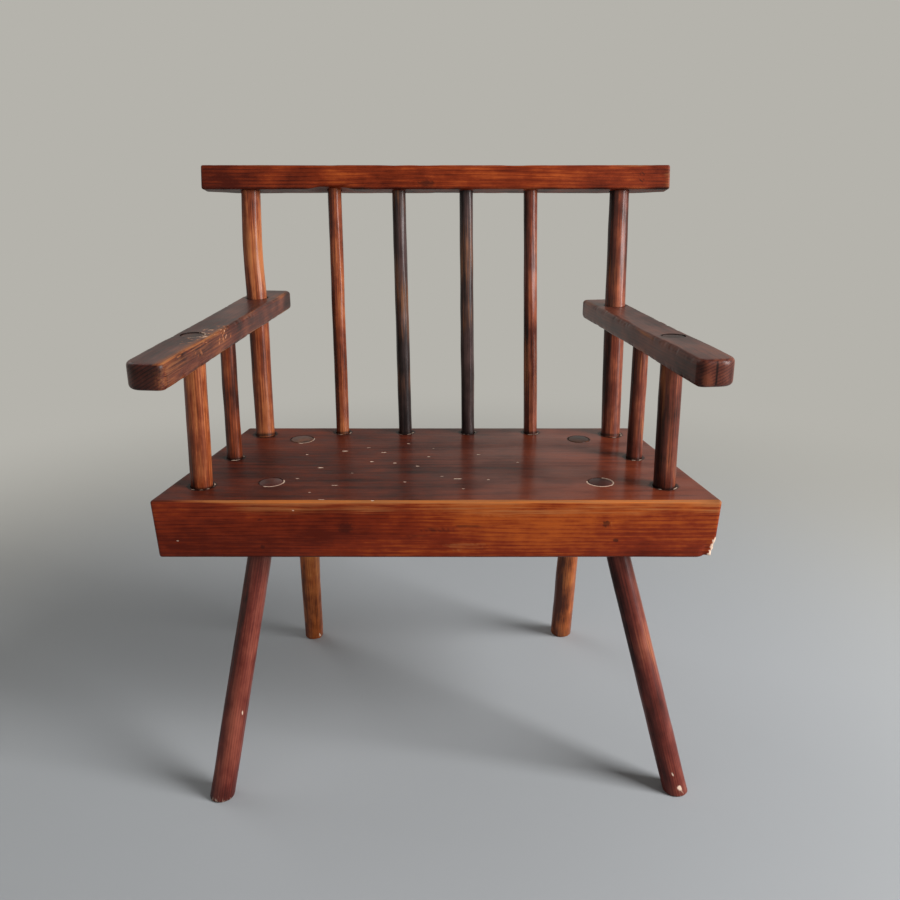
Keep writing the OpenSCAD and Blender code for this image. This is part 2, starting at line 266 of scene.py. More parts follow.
def outline_board(corners, thick, edge, step):
    """A board of an outline, its edges rounded, cut into a grid.

    Each corner is a point of the outline and the radius that it is rounded to.
    """
    bm = bmesh.new()
    face = bm.faces.new([bm.verts.new((*point, -thick / 2)) for point, _ in corners])
    grown = bmesh.ops.extrude_face_region(bm, geom=[face])["geom"]
    lifted = [g for g in grown if isinstance(g, bmesh.types.BMVert)]
    bmesh.ops.translate(bm, vec=(0, 0, thick), verts=lifted)
    bmesh.ops.recalc_face_normals(bm, faces=bm.faces)
    for point, radius in corners:
        upright = [e for e in bm.edges if all((v.co.xy - point).length < MM for v in e.verts)]
        bmesh.ops.bevel(bm, geom=upright, offset=radius, segments=9, **ROUNDING)
    level = [e for e in bm.edges if any(abs(f.normal.z) > 0.9 for f in e.link_faces)]
    bmesh.ops.bevel(bm, geom=level, offset=edge, segments=5, **ROUNDING)
    for k in range(3):
        low, high = (pick(v.co[k] for v in bm.verts) for pick in (min, max))
        count = round((high - low) / (step * COARSE))
        for i in range(1, count):
            plane = Vector((0, 0, 0))
            plane[k] = low + (high - low) * i / count
            way = Vector([float(k == j) for j in range(3)])
            geom = bm.verts[:] + bm.edges[:] + bm.faces[:]
            bmesh.ops.bisect_plane(bm, geom=geom, dist=1e-6, plane_co=plane, plane_no=way)
    return bm


def round_bar(length, sides, step):
    """A bar of radius 1 m along +Z from the origin, with a ring at each step."""
    bm = bmesh.new()
    bmesh.ops.create_cone(bm, cap_ends=True, segments=sides, radius1=1, radius2=1, depth=length)
    bmesh.ops.translate(bm, vec=(0, 0, length / 2), verts=bm.verts)
    long = [e for e in bm.edges if abs(e.verts[0].co.z - e.verts[1].co.z) > length / 2]
    cuts = max(1, round(length / (step * COARSE)))
    bmesh.ops.subdivide_edges(bm, edges=long, cuts=cuts)
    return bm


def cut_off(bm, point, way, rim):
    """Cuts a stick off flat at a point, and rounds the rim of the new end."""
    geom = bm.verts[:] + bm.edges[:] + bm.faces[:]
    cut = bmesh.ops.bisect_plane(
        bm, geom=geom, dist=1e-6, plane_co=point - way * rim, plane_no=way, clear_outer=True
    )
    open_rim = [g for g in cut["geom_cut"] if isinstance(g, bmesh.types.BMEdge)]
    on_rim = {v for e in open_rim for v in e.verts}
    in_order = [v for v in bm.verts if v in on_rim]
    bmesh.ops.remove_doubles(bm, verts=in_order, dist=0.3 * MM)
    open_rim = [e for e in bm.edges if e.is_boundary]
    cap = bmesh.ops.holes_fill(bm, edges=open_rim, sides=0)["faces"]
    bmesh.ops.recalc_face_normals(bm, faces=bm.faces)
    turns = [math.pi / 2 * i / RIM_STEPS for i in range(RIM_STEPS + 1)]
    for near, far in zip(turns, turns[1:]):
        inset = {"thickness": rim * (math.cos(near) - math.cos(far))}
        inset["depth"] = rim * (math.sin(far) - math.sin(near))
        bmesh.ops.inset_region(bm, faces=cap, use_even_offset=False, **inset)


def new_object(name, data):
    thing = bpy.data.objects.new(name, data)
    bpy.context.scene.collection.objects.link(thing)
    return thing


def new_piece(name, bm):
    """Turns a bmesh into an object at the origin, with its place in its mesh."""
    mesh = bpy.data.meshes.new(name)
    bm.to_mesh(mesh)
    bm.free()
    return new_object(name, mesh)


def drill(piece, holes):
    """Cuts round holes out of a piece. Each is a stick, its hole's radius, and its two ends."""
    for stick, radius, start, end in holes:
        bm = bmesh.new()
        radii = {"radius1": radius, "radius2": radius, "segments": HOLE_SIDES}
        bmesh.ops.create_cone(bm, cap_ends=True, depth=end - start, **radii)
        centre = stick.low + stick.axis * ((start + end) / 2)
        move = Matrix.Translation(centre) @ stick.turn.to_4x4()
        bmesh.ops.transform(bm, matrix=move, verts=bm.verts)
        modifier = piece.modifiers.new("hole", "BOOLEAN")
        modifier.operation, modifier.solver = "DIFFERENCE", "MANIFOLD"
        modifier.object = new_piece("cutter", bm)
    shaped = piece.evaluated_get(bpy.context.evaluated_depsgraph_get())
    drilled = bpy.data.meshes.new_from_object(shaped)
    cutters = [m.object for m in piece.modifiers]
    piece.modifiers.clear()
    piece.data = drilled
    for cutter in cutters:
        bpy.data.objects.remove(cutter)


def finish_piece(piece, node, slot, material, back, describe):
    """Gives a piece its wear and its finish, and puts it in the place of its frame node.

    back turns a point into the piece's own, whose x is along the grain. describe tells how worn,
    chipped or grimy a point is, and the shade, highlights and reflection painted on it, from the
    point and its normal. Both are the piece's own.
    """
    mesh = piece.data
    marks = {n: [] for n in ("wear", "chip", "grime", "side", "end", "tone", "dull")}
    grain, upright = [], back.to_3x3()
    seed = seed_of(node)
    for v in mesh.vertices:
        own = back @ v.co
        grain.extend(own + X * seed)
        normal = upright @ v.normal
        told = {"end": smooth(abs(normal.x), 0.5, 0.8)} | describe(own, normal)
        for n, found in marks.items():
            found.append(told.get(n, 0.0))
    mesh.attributes.new("grain", "FLOAT_VECTOR", "POINT").data.foreach_set("vector", grain)
    for n, found in marks.items():
        mesh.attributes.new(n, "FLOAT", "POINT").data.foreach_set("value", found)
    mesh.materials.clear()
    mesh.materials.append(material)
    mesh.polygons.foreach_set("use_smooth", [True] * len(mesh.polygons))
    mesh.polygons.foreach_set("material_index", [0] * len(mesh.polygons))
    mesh.set_sharp_from_angle(angle=math.radians(42))
    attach(piece, "root")
    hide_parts(node)


# ---- finishes


class Value:
    """A number or a colour that a finish's nodes work out, kept as the socket that gives it."""

    def __init__(self, finish, socket):
        self.finish, self.socket = finish, socket

    def math(self, operation, other, swapped=False):
        inputs = {0: other, 1: self} if swapped else {0: self, 1: other}
        return self.finish.add("ShaderNodeMath", {"operation": operation}, inputs)

    def __add__(self, other):
        return self.math("ADD", other)

    def __mul__(self, other):
        return self.math("MULTIPLY", other)

    def __sub__(self, other):
        return self.math("SUBTRACT", other)

    def __rsub__(self, other):
        return self.math("SUBTRACT", other, swapped=True)

    __radd__ = __add__
    __rmul__ = __mul__


class Finish:
    """A material in the making."""

    def __init__(self, name):
        self.material = bpy.data.materials.new(name)
        self.material.use_nodes = True
        self.tree = self.material.node_tree
        self.tree.nodes.clear()

    def add(self, kind, settings=None, inputs=None, output=0):
        """Adds a node: its settings first, then the value or link of each input."""
        node = self.tree.nodes.new(kind)
        for name, setting in (settings or {}).items():
            if name == "stops":
                while len(node.color_ramp.elements) < len(setting):
                    node.color_ramp.elements.new(1.0)
                for stop, (place, shade) in zip(node.color_ramp.elements, setting):
                    stop.position, stop.color = place, (*shade, 1.0)
            else:
                setattr(node, name, setting)
        for name, value in (inputs or {}).items():
            if isinstance(value, Value):
                self.tree.links.new(value.socket, node.inputs[name])
            else:
                node.inputs[name].default_value = value
        return Value(self, node.outputs[output]) if node.outputs else None

    def attribute(self, name, output="Fac"):
        return self.add("ShaderNodeAttribute", {"attribute_name": name}, output=output)

    def vector(self, operation, *inputs, output=0):
        settings = {"operation": operation}
        return self.add("ShaderNodeVectorMath", settings, dict(enumerate(inputs)), output)

    def noise(self, place, scale, detail=2.0, roughness=0.5, distortion=0.0):
        """Noise from 0 to 1, with scale lumps to the metre in each direction."""
        inputs = {"Vector": self.vector("MULTIPLY", place, scale), "Scale": 1.0}
        inputs |= {"Detail": detail, "Roughness": roughness, "Distortion": distortion}
        return self.add("ShaderNodeTexNoise", None, inputs)

    def step(self, value, start, end):
        """0 before start, 1 after end, and a soft step between them."""
        inputs = {"Value": value, "From Min": start, "From Max": end}
        settings = {"interpolation_type": "SMOOTHSTEP"}
        return self.add("ShaderNodeMapRange", settings, inputs)

    def mix(self, factor, first, second):
        """One colour laid over another by a factor from 0 to 1."""
        settings = {"data_type": "RGBA", "clamp_factor": True}
        sockets = {0: factor, 6: first, 7: second}
        sockets = {k: (*v, 1.0) if isinstance(v, tuple) else v for k, v in sockets.items()}
        return self.add("ShaderNodeMix", settings, sockets, output=2)

    def tones(self, tone, deep, body, glow):
        stops = [(0.12, deep), (0.5, body), (0.88, glow)]
        return self.add("ShaderNodeValToRGB", {"stops": stops}, {0: tone})

    def closed(self, surface):
        """The material, once its surface is joined to its output."""
        self.add("ShaderNodeOutputMaterial", None, {"Surface": surface})
        return self.material


# The noises of varnished wood, from the broadest to the pores: how many lumps to the metre along
# the grain and across it, then detail, roughness and distortion.
NOISES = (
    ((1.4, 9, 9), 2.0, 0.5, 0.2),
    ((6, 24, 24), 3.0, 0.55),
    ((38, 60, 60), 3.0, 0.6),
    ((8, 130, 130), 2.0, 0.5),
    ((14, 480, 480), 3.0, 0.6),
    ((45, 1000, 1000), 2.0, 0.5),
)


def wood(
    name, tones, gloss, haze, streaks=0.8, side_tones=None, rubbed=None, pith=BOARD_PITH, rings=190
):
    """Varnished wood: long growth lines, fine streaks and pores, rubbed edges, chips and grime, and
    the shade, highlights and reflection painted through its attributes.

    tones go from the darkest growth line to the palest wood. side_tones are those of a board's
    upright sides, where they differ from its top. gloss is the weight of the varnish, and haze
    how dull it has gone. streaks is how strong the fine streaks are. pith is where the tree's
    middle lies from the piece's own, and rings is how many growth lines there are to the metre.
    """
    varnish = bpy.context.scene.armchair_varnish
    f = Finish(name)
    grain = f.attribute("grain", "Vector")
    broad, patch, uneven, middling, fine, pore = (f.noise(grain, *how) for how in NOISES)
    off_pith = f.vector("MULTIPLY_ADD", grain, (0, 1, 1), (0, *pith))
    out = f.vector("LENGTH", off_pith, output="Value")
    wave = (out * (rings * math.tau) + broad * 34 + patch * 5).math("SINE", 0.0)
    late = f.step(wave, 0.0, 1.0)
    end = f.attribute("end")
    streak = (fine - 0.5) * 0.95 + (middling - 0.5) * 0.55 + (pore - 0.5) * 0.5
    tone = (
        0.5
        + f.attribute("tone")
        + (broad - 0.5) * 0.7
        + (patch - 0.5) * (0.9 - end * 0.5)
        + streak * (1 - end * 0.75) * streaks
        + (uneven - 0.5) * 0.65
        - (late - 0.3) * (0.13 + end * 0.1)
        - end * 0.16
    )
    shade = f.tones(tone, *tones)
    if side_tones:
        side = f.step(f.attribute("side"), 0.25, 0.75)
        shade = f.mix(side, shade, f.tones(tone, *side_tones))
    ragged = (patch - 0.5) * 0.7 + (fine - 0.5) * 1.1
    rub = f.step(f.attribute("wear") + ragged, 0.3, 1.0)
    bare = f.mix(f.step(fine, 0.35, 0.65), tuple(rubbed or tones[2]), tuple(varnish.bare))
    shade = f.mix(rub * 0.8, shade, bare)
    dirt = f.step(f.attribute("grime") + (patch - 0.5) * 0.5 + (fine - 0.5) * 0.4, 0.15, 0.9)
    shade = f.mix(dirt * 0.88, shade, tuple(varnish.grime))
    # The chip colour paints chips, and also the painted highlights that the chip attribute carries.
    chip = f.step(f.attribute("chip") + (pore - 0.5) * 0.5, 0.3, 0.7)
    shade = f.mix(chip, shade, tuple(varnish.chip))
    roughness = varnish.roughness + (uneven - 0.5) * 0.25 + (fine - 0.5) * 0.15
    roughness = roughness + rub * 0.12 + chip * 0.3
    worn_gloss = f.step(patch + (uneven - 0.5) * 0.5, 0.25, 0.65)
    coat = gloss * (1 - rub * 0.5) * (1 - chip) * (1 - dirt * 0.4)
    coat = coat * (0.55 + worn_gloss * 0.45) * (1 - f.attribute("dull"))
    height = fine * 0.8 + pore * 0.3 + wave * 0.03 + uneven * 0.8 - chip * 0.6
    bump = f.add("ShaderNodeBump", None, {"Height": height, "Distance": 0.3 * MM})
    inputs = {"Base Color": shade, "Roughness": roughness, "Normal": bump, "Coat Weight": coat}
    inputs |= {"Coat Roughness": haze, "Coat IOR": varnish.coat_ior}
    inputs["Specular IOR Level"] = varnish.sheen
    return f.closed(f.add("ShaderNodeBsdfPrincipled", None, inputs))


# ---- what a user may change


def size(name, text, value):
    return FloatProperty(name=name, description=text, default=value, unit="LENGTH")


def amount(name, text, value):
    return FloatProperty(name=name, description=text, default=value)


def colour(name, text, *value):
    return FloatVectorProperty(
        name=name, description=text, default=tint(*value), size=3, subtype="COLOR", min=0, max=1
    )


def shades(part, where, deep, body, glow):
    """The three colours of a part's varnished wood, named after the part."""
    name = part.capitalize()
    return {
        f"{part}_deep": colour(f"{name}, dark streaks", f"Darkest varnish on {where}", *deep),
        f"{part}_body": colour(f"{name}, varnish", f"Varnish on {where}", *body),
        f"{part}_glow": colour(f"{name}, pale streaks", f"Palest varnish on {where}", *glow),
    }


def board(what, grid, edge, gloss, haze):
    """The settings that every board has."""
    return {
        "grid": size("Grid", f"Size of the faces of {what}'s mesh", grid * MM),
        "edge": size("Edge", f"Rounding of {what}'s arrises", edge * MM),
        "gloss": amount("Gloss", f"Weight of the varnish on {what}", gloss),
        "haze": amount("Haze", f"How dull the varnish on {what} has gone", haze),
    }


def tones_of(settings, part):
    """A part's three colours, from the darkest to the palest."""
    return tuple(getattr(settings, f"{part}_{shade}") for shade in ("deep", "body", "glow"))


class SeatSettings(bpy.types.PropertyGroup):
    uneven: size("Unevenness", "How far the planed faces wander", 0.5 * MM)
    bite: size("Worn corner", "How much of the front right lower corner is gone", 6 * MM)
    rubbed: colour("Arris", "Where hands have rubbed the edges", 212, 122, 58)
    __annotations__ |= board("the seat", 3.3, 4, 0.62, 0.18)
    __annotations__ |= shades("top", "the top", (44, 16, 12), (90, 36, 22), (122, 54, 32))
    __annotations__ |= shades("sides", "the sides", (86, 21, 3), (126, 39, 6), (175, 80, 20))


class StickSettings(bpy.types.PropertyGroup):
    ring: size("Ring step", "Distance between the rings of a stick's mesh", 5 * MM)
    sides: IntProperty(name="Sides", description="Faces round a stick", default=48)
    shave: size("Shaving", "Depth of the flats left by the knife", 0.9 * MM)
    foot: size("Foot", "Rounding of the legs' feet", 2.5 * MM)
    bow: size("Bow", "How far the left back post bends out above its arm", 2.2 * MM)
    gloss: amount("Gloss", "Weight of the varnish on the sticks", 0.75)
    haze: amount("Haze", "How dull their varnish has gone", 0.3)
    __annotations__ |= shades("leg", "the front legs", (42, 14, 12), (102, 39, 30), (148, 76, 58))
    __annotations__ |= shades("back", "the back legs", (84, 34, 12), (172, 88, 36), (216, 138, 66))
    __annotations__ |= shades(
        "post", "the left-hand posts", (56, 20, 10), (130, 58, 29), (192, 112, 64)
    )
    __annotations__ |= shades(
        "red", "the right-hand posts", (36, 13, 9), (104, 46, 31), (174, 94, 60)
    )
    __annotations__ |= shades(
        "dark", "the inner spindles", (22, 12, 12), (60, 40, 38), (96, 68, 64)
    )


class ArmSettings(bpy.types.PropertyGroup):
    corner: size("Outer corner", "Rounding of an arm's outer front corner", 21 * MM)
    inner_corner: size("Other corners", "Rounding of its other upright corners", 11 * MM)
    nose: size("Nose", "Length over which an arm's ends grow thinner", 12 * MM)
    swell: amount("Swell", "Share by which an arm grows thicker to its front", 0.11)
    rubbed: colour("Rubbed", "Where forearms have worn the arms", 178, 98, 58)
    __annotations__ |= board("an arm", 2.2, 5, 0.5, 0.3)
    __annotations__ |= shades("arm", "the arms", (36, 15, 12), (78, 35, 27), (112, 58, 40))


class RailSettings(bpy.types.PropertyGroup):
    taper: size("Taper", "How far the rail's back is cut away at its ends", 15 * MM)
    taper_run: size("Taper's run", "Length of that cut", 45 * MM)
    scoop: size("Scoop", "Depth of the hollow in the lower front edge", 3.5 * MM)
    __annotations__ |= board("the rail", 2.6, 3, 0.3, 0.36)
    __annotations__ |= shades("rail", "the rail", (74, 18, 4), (128, 45, 14), (182, 84, 32))


class VarnishSettings(bpy.types.PropertyGroup):
    roughness: amount("Roughness", "Of the wood under the varnish", 0.48)
    coat_ior: amount("Coat IOR", "How strongly the varnish reflects", 1.4)
    sheen: amount("Sheen", "Reflection of the wood itself", 0.1)
    bare: colour("Bare wood", "Wood where the varnish has gone", 176, 114, 68)
    # The chip colour also paints the highlights on the rims of the legs' and front posts' ends and
    # on the crust round the uprights.
    chip: colour("Chips", "Fresh wood and dust in the chips", 222, 194, 172)
    grime: colour("Grime", "Old dirt in corners and dents", 22, 12, 10)


class StageSettings(bpy.types.PropertyGroup):
    floor: colour("Floor", "Colour of the floor", 174, 177, 180)
    wall: colour("Backdrop", "Colour of the backdrop", 186, 185, 180)
    far: colour("Far backdrop", "Backdrop where it is out of the lights", 181, 179, 172)
    radius: size("Backdrop radius", "Radius of the round backdrop", 4.0)
    key_light: amount("Key light", "Power of the large light, in watts", 129.0)
    fill_light: amount("Fill light", "Power of the soft light on the left, in watts", 2.0)
    back_light: amount("Back light", "Power of the soft light behind, in watts", 20.0)
    air: amount("Air light", "Strength of the light from all round", 0.15)
    sky: amount("Sky", "Brightness of the air over the backdrop, as it is seen", 0.42)
    camera: FloatVectorProperty(
        name="Camera", description="Where the camera stands", default=(0.017, -1.1649, 0.8),
        size=3, subtype="TRANSLATION",
    )
    pitch: FloatProperty(
        name="Pitch", description="How far the camera looks down", default=math.radians(18.4),
        subtype="ANGLE",
    )


SETTINGS = {
    "armchair_seat": SeatSettings,
    "armchair_sticks": StickSettings,
    "armchair_arms": ArmSettings,
    "armchair_rail": RailSettings,
    "armchair_varnish": VarnishSettings,
    "armchair_stage": StageSettings,
}


# ---- the pieces and their places


LEGS = ("leg_front_left", "leg_front_right", "leg_back_left", "leg_back_right")
FRONT_POSTS = ("arm_post_left", "arm_post_right")
ARM_STICKS = ("arm_stick_left", "arm_stick_right")
BACK_POSTS = ("back_post_left", "back_post_right")
SPINDLES = ("back_spindle_1", "back_spindle_2", "back_spindle_3", "back_spindle_4")
DARK_SPINDLES = SPINDLES[1:3]
RED_STICKS = ("arm_post_right", "arm_stick_right", "back_post_right", "back_spindle_4")
# How much paler, or darker where less than 0, a stick is than others of its finish.
PALER = {
    "arm_stick_left": -0.2,
    "back_post_left": 0.12,
    "back_spindle_1": -0.08,
    "leg_back_right": -0.12,
}
UPRIGHTS = FRONT_POSTS + ARM_STICKS + BACK_POSTS + SPINDLES
# How much wider than its stick a hole is, in radius.
PLAY = 0.3 * MM

sticks = {node: Stick(node, level=node in LEGS) for node in LEGS + UPRIGHTS}


# ---- the seat


# Chips in the top's varnish: the share across, the share back, then length and width in mm.
TOP_CHIPS = (
    (0.29, 0.63, 9, 4), (0.21, 0.58, 4, 3), (0.26, 0.40, 8, 3), (0.36, 0.48, 6, 3),
    (0.38, 0.61, 9, 3), (0.41, 0.46, 5, 3), (0.46, 0.42, 7, 2), (0.51, 0.29, 4, 2),
    (0.54, 0.26, 11, 3), (0.55, 0.14, 4, 2), (0.59, 0.58, 5, 3), (0.60, 0.25, 4, 3),
    (0.31, 0.18, 8, 2), (0.23, 0.26, 5, 2), (0.27, 0.10, 4, 2), (0.30, 0.02, 7, 2),
    (0.39, 0.01, 5, 2), (0.34, 0.68, 5, 2), (0.43, 0.74, 6, 2), (0.48, 0.55, 4, 3),
    (0.33, 0.33, 4, 2), (0.44, 0.22, 5, 2), (0.67, 0.47, 4, 2), (0.49, 0.67, 3, 2),
)
# Marks on the front: the share across, the share up, then length and height in mm.
FRONT_MARKS = {
    "grime": (
        (0.19, 0.67, 9, 4), (0.19, 0.20, 6, 6), (0.34, 0.53, 20, 15), (0.80, 0.60, 9, 10),
        (0.82, 0.32, 7, 7), (0.50, 0.50, 70, 4), (0.47, 0.38, 40, 3), (0.56, 0.56, 35, 3),
    ),
    "chip": ((0.04, 0.31, 3, 1), (0.25, 0.83, 3, 1), (0.99, 0.05, 6, 5)),
    "wear": ((0.81, 0.60, 2, 8), (0.65, 0.78, 150, 14), (0.55, 0.22, 60, 12)),
}
# How strong a front mark of each kind is.
MARK_SHARE = {"grime": 0.55, "chip": 1.0, "wear": 0.5}
CHIP_DEPTH, CHIP_NARROWED = 0.45 * MM, 0.9
# Each leg's end in the top: the way its pale rim looks, which is painted highlight on the side
# toward the light, how little of the rim is pale, and how dark the end has gone.
LEG_RIMS = {
    "leg_front_left": ((0.7, -0.7), 0.2, 0.32),
    "leg_front_right": ((0.5, -0.8), -0.75, 0.5),
    "leg_back_left": ((0.7, -0.7), 0.35, 0.7),
    "leg_back_right": ((-0.5, -0.8), 0.95, 0.85),
}


def deepen(told, kind, value):
    """Makes a mark of one kind at least as strong as a value."""
    told[kind] = max(told.get(kind, 0.0), value)


def oval_mark(along, across, long, wide, ragged):
    """1 inside an oval mark with ragged edges, and 0 outside it."""
    reach = math.hypot(along / long, across / wide) * 2
    return smooth(reach + 0.45 * ragged, 1.25, 0.7)


def rim_mark(gap, ragged, middle_gap, reach, core):
    """1 on a ragged ring round a hole, middle_gap from its edge, and 0 out of reach, in mm."""
    return within(abs(gap - middle_gap * MM + 0.3 * MM * ragged), reach, core)


class BoardMaker:
    """What the makers of boards share: the place, the settings and the surface's own noise."""

    def __init__(self, node, settings, along=X):
        self.node, self.settings = node, getattr(bpy.context.scene, settings)
        self.board = Board(node, along)
        self.half = self.board.half
        self.seed = seed_of(node)

    def lumps(self, own, scale, turn=0.0):
        return lumps(own, scale, self.seed + turn)

    def drift(self, own, slow, quick):
        """How far a planed face wanders: slow lumps with quicker ones over them."""
        return self.lumps(own, slow) + 0.5 * self.lumps(own, quick)

    def nibbled(self, own, slow, quick, share):
        """How deep an arris is nibbled away, 0 where it is whole."""
        return max(0.0, self.lumps(own, slow) + share * self.lumps(own, quick))

    def make(self, name, slot, finish):
        piece = new_piece(name, self.shape())
        drill(piece, list(self.holes()))
        finish_piece(piece, self.node, slot, finish, self.board.back, self.describe)


class SeatMaker(BoardMaker):
    """The plank: its shape, where it is worn, chipped and dirty, and where shade and reflection are
    painted on it.
    """

    def __init__(self):
        super().__init__("seat", "armchair_seat")
        self.ends = Face("seat", -X), Face("seat", X)
        self.chips = [
            (self.on_plank(across, back=back), long * MM, CHIP_NARROWED * wide * MM)
            for across, back, long, wide in TOP_CHIPS
        ]
        self.marks = [
            (self.on_plank(across, up=up), long * MM, tall * MM, kind)
            for kind, marks in FRONT_MARKS.items()
            for across, up, long, tall in marks
        ]
        self.corner = self.on_plank(1.0, up=0.02)
        self.rims = {n: s.radius(s.to_height(seat_top)) + PLAY for n, s in sticks.items()}

    def on_plank(self, across, back=0.0, up=1.0):
        """The point of the plank at a share of the way across, back and up."""
        flat = [(share - 0.5) * 2 for share in (across, back, up)]
        return self.fitted(Vector([flat[k] * self.half[k] for k in range(3)]))

    def fitted(self, point):
        """Where a point of the plain box goes on the plank, whose ends are not square."""
        return self.board.between(point, *self.ends, 0)

    def shape(self):
        bm = grid_box(self.board.size, self.settings.edge, self.settings.grid)
        arris = {}
        for v in bm.verts:
            arris[v] = self.board.arris(v.co, 9 * MM)
            v.co = self.fitted(v.co)
        spots = [(centre, long / 2 + 4 * MM) for centre, long, _ in self.chips]
        for node in UPRIGHTS + LEGS:
            spots.append((self.board.back @ sticks[node].at_height(seat_top), 21 * MM))
        for centre, long, tall, _ in self.marks:
            if long < 30 * MM:
                spots.append((centre, max(long, tall) / 2 + 4 * MM))
        finer(bm, spots)
        for v in bm.verts:
            own, near = v.co.copy(), arris.get(v, 0.0)
            inward = Vector([-own[k] / self.half[k] for k in range(3)])
            v.co -= v.normal * (self.settings.uneven * (0.75 + self.drift(own, 9, 31) * 0.5))
            v.co += inward * (near * self.nibbled(own, 70, 190, 0.6) * 1.1 * MM)
            corner = within((own - self.corner).length, 24, 4)
            torn = 0.6 + 0.8 * self.lumps(own, 120)
            v.co += inward.normalized() * (corner * torn * self.settings.bite)
            for found in self.chips_at(own, self.lumps(own, RAGGED)):
                v.co.z -= found * CHIP_DEPTH
        bmesh.ops.transform(bm, matrix=self.board.place, verts=bm.verts)
        return bm

    def chips_at(self, own, ragged):
        """How far a point is in each chip of the top that is near it, from 0 to 1."""
        for centre, long, wide in self.chips:
            off = own - centre
            if off.length < long:
                yield oval_mark(off.x, off.y, long, wide, ragged)

    def holes(self):
        for node, radius in self.rims.items():
            stick = sticks[node]
            start = stick.to_height(seat_under - PAST_SEAT) if node in LEGS else -DEEPER
            yield stick, radius, start, stick.to_height(seat_top + PAST_SEAT)

    def describe(self, own, normal):
        """How worn, chipped and dirty a point of the plank is, and where shade and reflection are
        painted on it.
        """
        half, ragged, slow = self.half, self.lumps(own, RAGGED), self.lumps(own, 14, 3)
        side = smooth(abs(normal.z), 0.8, 0.45)
        flat = 1 - side
        top_arris = math.hypot(own.y + half.y, own.z - half.z)
        fade = 0.3 + 0.7 * smooth(own.x, -half.x, -0.5 * half.x)
        front = within(top_arris, 6, 1.5) * (1.4 + 0.4 * slow) * fade
        other = self.board.arris(self.board_point(own), 7 * MM) * (0.3 + 0.5 * slow)
        under_band = within(abs(own.z - half.z + 12 * MM), 14, 2)
        band = under_band * smooth(normal.y, -0.5, -0.9) * (0.55 + 0.3 * slow) * fade
        told = {"side": side, "wear": max(front, other, band), "chip": 0.0}
        low_edge = smooth(own.z, -half.z + 5 * MM, -half.z + 1 * MM)
        told["grime"] = 0.55 * low_edge + 0.12 * max(0.0, slow)

        # The sides go darker towards the left end, partly the wood's own tone and partly painted
        # shade, as the light falls from the right.
        left, warm = smooth(own.x, 0.1, -half.x), smooth(abs(own.x - 0.07), 0.3, 0.02)
        rise = 0.16 * smooth(own.z, -half.z, half.z) - 0.1
        told["tone"] = side * (0.1 * warm - 0.2 * left + rise) + 0.12 * slow
        # The top is painted paler towards the right and in a band just right of the middle: painted
        # reflection. Its varnish is made duller towards the left and less dull in that band, so it
        # reflects less on the left.
        sheen = smooth(abs(own.x - 0.1), 0.13, 0.02)
        told["tone"] += flat * (0.3 * smooth(own.x, 0.0, half.x) + 0.2 * sheen)
        duller = smooth(own.x, 0.9 * half.x, -0.8 * half.x)
        told["dull"] = flat * 0.95 * duller + 0.35 * side
        told["dull"] -= 0.3 * flat * sheen

        if own.z > half.z - 4 * MM:
            for found in self.chips_at(own, ragged):
                deepen(told, "chip", found)
            ends = 0.4 * smooth(abs(own.x), half.x - 40 * MM, half.x)
            deepen(told, "grime", ends)
        elif normal.y < -0.4 or own.x > half.x - 8 * MM:
            for centre, long, tall, kind in self.marks:
                off = own - centre
                if abs(off.x) < long and abs(off.z) < tall:
                    found = oval_mark(math.hypot(off.x, off.y), off.z, long, tall, ragged)
                    deepen(told, kind, MARK_SHARE[kind] * found)
        up = (own.z / half.z + 1) / 2
        from_corner = (own - self.on_plank(1.0, up=up)).xy.length
        splintered = within(from_corner, 10 - 12 * up, 7 - 12 * up)
        splintered *= smooth(up, 0.44, 0.3) * smooth(ragged, -0.5, 0)
        deepen(told, "chip", splintered)
        if own.z >= half.z - 6 * MM:
            self.describe_rims(own, ragged, told)
        return told

    def describe_rims(self, own, ragged, told):
        """Adds the pale and dark rims of the legs' ends, the pale being painted highlight on the
        side toward the light, and the dust round the uprights, whose pale crust is painted
        highlight too.
        """
        world = self.board.place @ own
        for node, rim in self.rims.items():
            far, out = sticks[node].distance(world)
            gap = far - rim
            if gap > 14 * MM:
                continue
            if node in LEGS:
                (way_x, way_y), start, dark = LEG_RIMS[node]
                way = out.normalized().dot(Vector((way_x, way_y, 0)))
                # The pale arc on the side of the rim toward the light is painted highlight, drawn
                # in the chip colour; round the rest of the rim the joint is dark.
                pale = smooth(way, start, start + 0.3)
                chip = 1.1 * rim_mark(gap, ragged, 0.5, 1.4, 0.6) * pale
                grime = (0.3 + 0.6 * dark) * within(gap, 2.5, 0.5) * (1 - pale)
            else:
                dust = within(gap + 1.8 * MM * ragged, 6.5, 1.5)
                # The pale broken crust round each upright's foot is drawn only on its right front
                # side, toward the light: a crust of dust with painted highlight.
                pale = within(out.x - out.y, -8, 10)
                crust_and_highlight = within(abs(gap - 1.4 * MM + 1.2 * MM * ragged), 1.9, 0.5)
                broken = smooth(self.lumps(own, 130), -0.3, 0.25)
                chip, grime = 0.62 * crust_and_highlight * pale * broken, 1.05 * dust
            deepen(told, "chip", chip)
            deepen(told, "grime", grime)

    def board_point(self, own):
        """The point's place on the plain box again, for its distance from the arrises."""
        wide = abs(self.fitted(Vector((self.half.x, own.y, own.z))).x)
        return Vector((own.x / wide * self.half.x, own.y, own.z))


